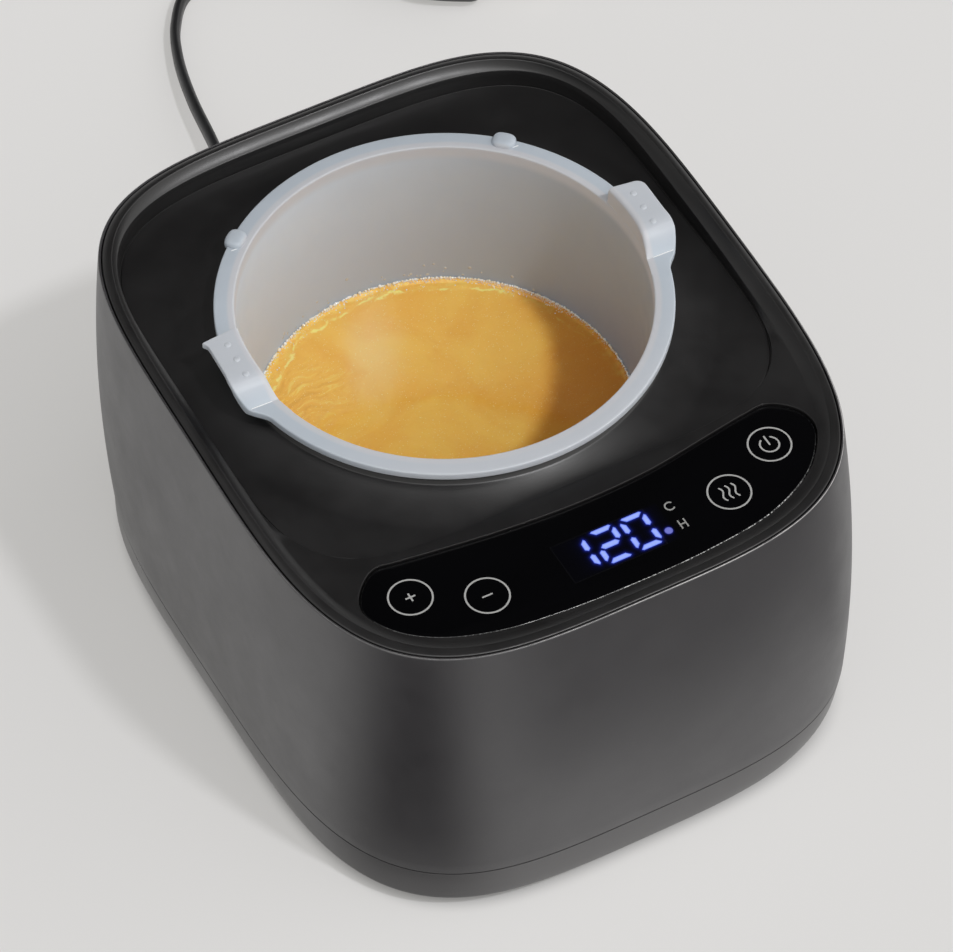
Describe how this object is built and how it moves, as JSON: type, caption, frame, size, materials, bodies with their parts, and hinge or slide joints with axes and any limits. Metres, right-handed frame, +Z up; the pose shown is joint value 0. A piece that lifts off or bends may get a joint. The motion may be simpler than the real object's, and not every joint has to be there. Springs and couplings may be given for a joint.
{
  "type": "wax warmer pot",
  "caption": "Tabletop wax warmer: tapered rounded box with a touch panel, a heated well and a lift-out silicone pot of melted wax on a mains cord.",
  "frame": {"origin": "centre of the flat underside of the base tray, 3 mm above the table the rubber feet stand on", "axes": "+Z up, -Y towards the user and the touch panel, +X to the user's right"},
  "size_m": [0.2209, 0.34, 0.1093],
  "materials": {
    "shell": "satin dark grey, fine moulded grain",
    "cover": "satin black",
    "tray": "satin dark grey, slightly glossier than the wall",
    "glass": "gloss black touch glass with printed symbols",
    "silicone": "milky translucent silicone",
    "wax": "melted gold shimmer wax",
    "well": "spun",
    "seal": "red silicone",
    "heater": "orange-brown silicone heater",
    "insulation": "glass felt",
    "white_plastic": "plain",
    "steel": "zinc plated",
    "brass": "nickel-dulled brass",
    "board": "solder mask",
    "display": "dark display window",
    "black_plastic": "moulded",
    "relay_blue": "moulded",
    "wire_brown": "insulated wire",
    "wire_blue": "insulated wire",
    "wire_white": "insulated wire",
    "cord": "flat twin flex, satin",
    "rubber": "matt black"
  },
  "bodies": {
    "base": {"base_screw_front_left": "steel", "base_screw_front_right": "steel", "base_screw_rear_left": "steel", "base_screw_rear_right": "steel", "base_tray": "tray", "board_fuse": "white_plastic", "board_screw_left": "steel", "board_screw_right": "steel", "control_board": "board", "cord_clamp": "black_plastic", "cord_clamp_screw_left": "steel", "cord_clamp_screw_right": "steel", "cord_grommet": "rubber", "display_module": "display", "filter_capacitor": "white_plastic", "foot_front_left": "rubber", "foot_front_right": "rubber", "foot_rear_left": "rubber", "foot_rear_right": "rubber", "heater_band": "heater", "heater_clamp_screw": "steel", "heater_lead_live": "wire_brown", "heater_lead_neutral": "wire_blue", "heating_well": "well", "insulation_sleeve": "insulation", "mains_lead_live": "wire_brown", "mains_lead_neutral": "wire_blue", "ntc_sensor": "brass", "panel_glass": "glass", "plug_body": "black_plastic", "plug_pin_left": "brass", "plug_pin_right": "brass", "power_board": "board", "power_board_screw_left": "steel", "power_board_screw_right": "steel", "power_cord": "cord", "relay": "relay_blue", "ribbon_cable": "wire_white", "sensor_lead": "wire_white", "side_shell": "shell", "terminal_block": "black_plastic", "thermal_fuse": "white_plastic", "thermal_fuse_clip": "steel", "top_cover": "cover", "touch_spring_heat": "steel", "touch_spring_minus": "steel", "touch_spring_plus": "steel", "touch_spring_power": "steel", "transformer": "black_plastic", "well_screw_front_left": "steel", "well_screw_front_right": "steel", "well_screw_rear_left": "steel", "well_screw_rear_right": "steel", "well_seal": "seal"},
    "pot": {"silicone_pot": "silicone", "wax_fill": "wax"}
  },
  "joints": [
    {"name": "pot_lift", "type": "slide", "parent": "base", "child": "pot", "axis": [0, 0, 1], "range_m": [0, 0.09]}
  ]
}
